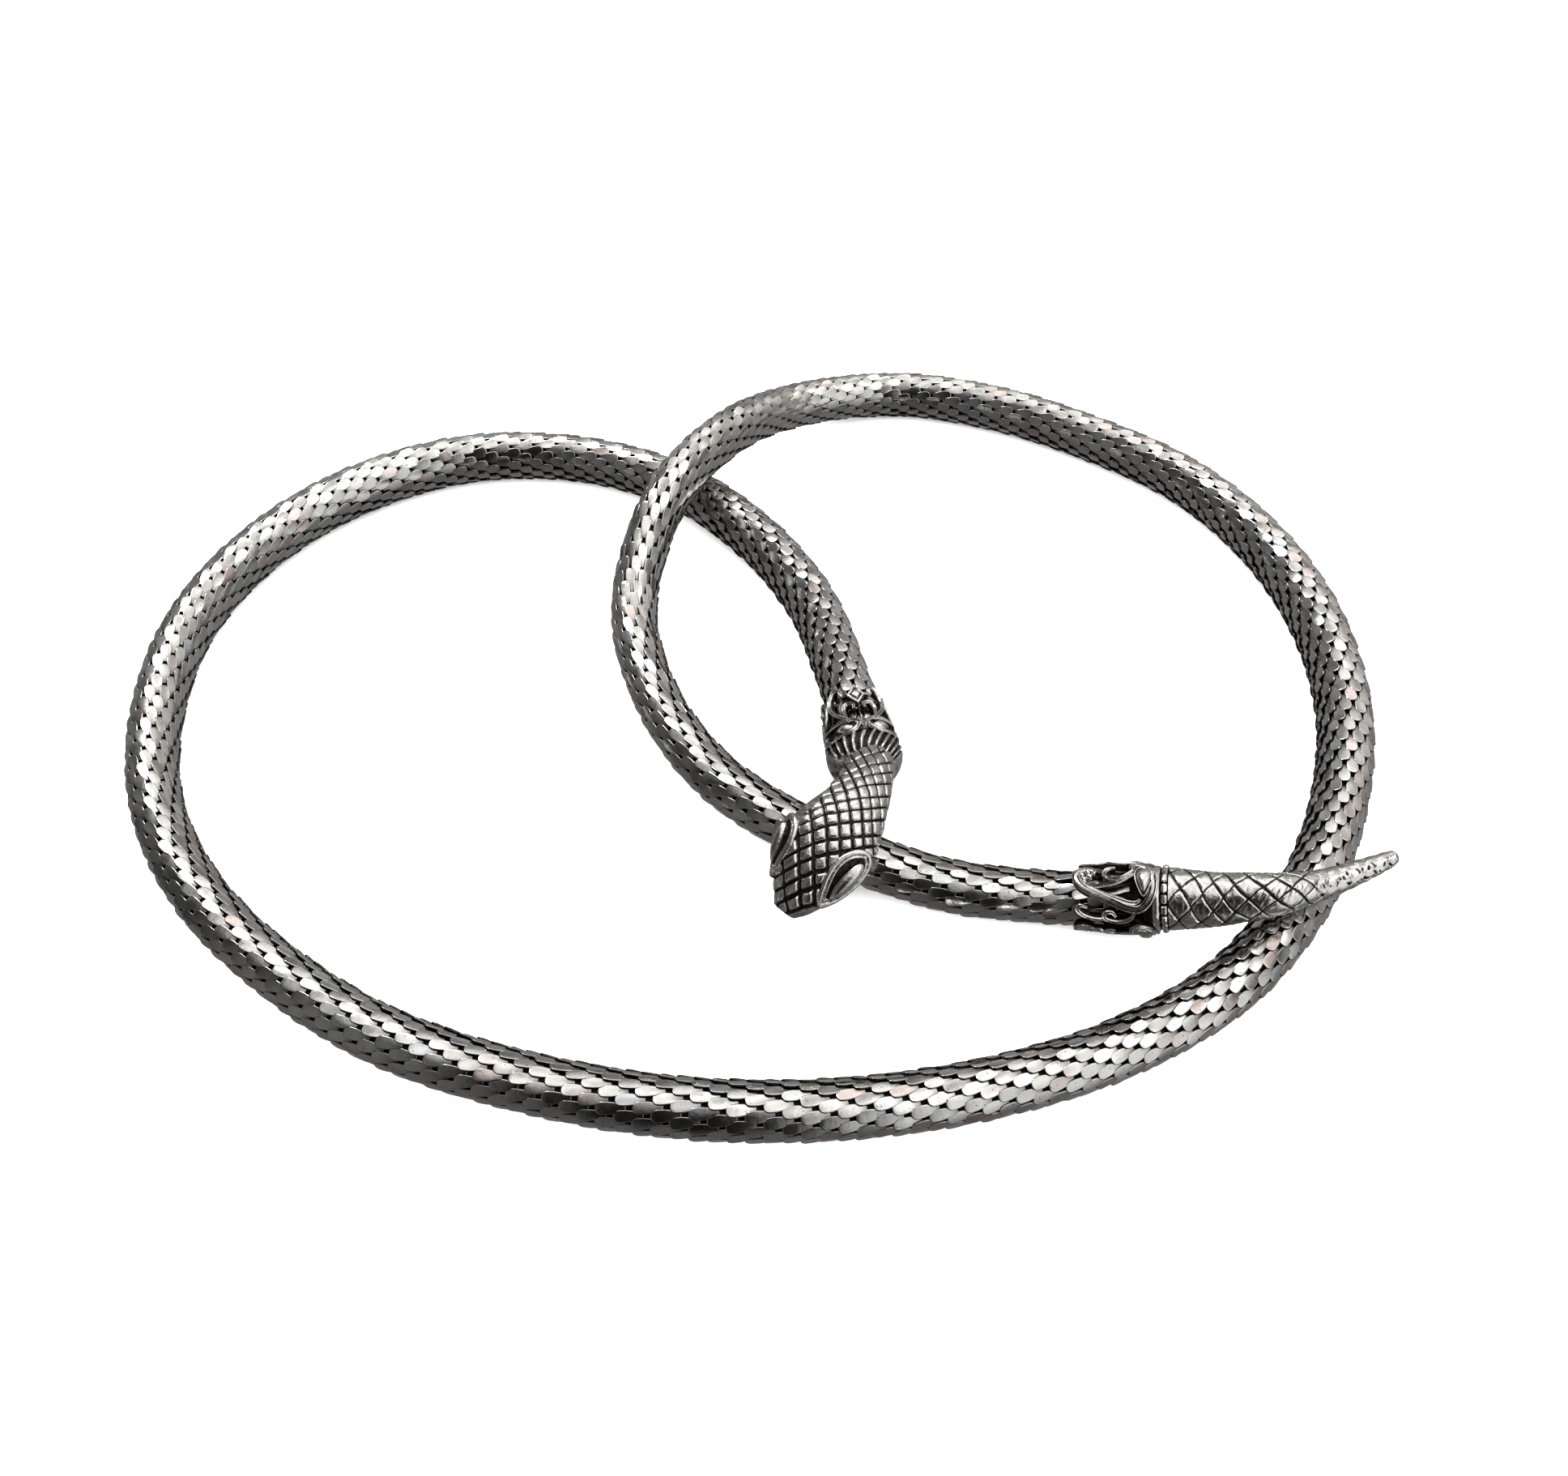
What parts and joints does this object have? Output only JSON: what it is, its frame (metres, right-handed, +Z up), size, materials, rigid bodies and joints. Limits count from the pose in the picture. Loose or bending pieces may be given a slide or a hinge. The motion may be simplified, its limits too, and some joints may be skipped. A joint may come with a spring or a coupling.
{
  "type": "mesh snake belt",
  "caption": "Tubular strand of silver-tone fish-scale mesh with a cast snake's head and pointed tail in pierced collars, lying in open loops, its head over its own strand.",
  "frame": {"origin": "the middle of the whole belt's box in plan, on the surface that it lies on", "axes": "X to the right and Y to the back as the picture shows it, Z up"},
  "size_m": [0.2324, 0.1928, 0.0199],
  "materials": {
    "mesh": "bright plated scales with worn dark gaps between them",
    "cast_metal": "aged silver-tone casting, polished highs and blackened recesses",
    "plain_metal": "plain bent strip"
  },
  "bodies": {
    "root": {"mesh_head_side": "mesh", "mesh_tail_side": "mesh", "head_collar": "cast_metal", "head": "cast_metal", "head_hook": "plain_metal", "tail_collar": "cast_metal", "tail_ring": "cast_metal", "tail": "cast_metal"}
  },
  "joints": []
}
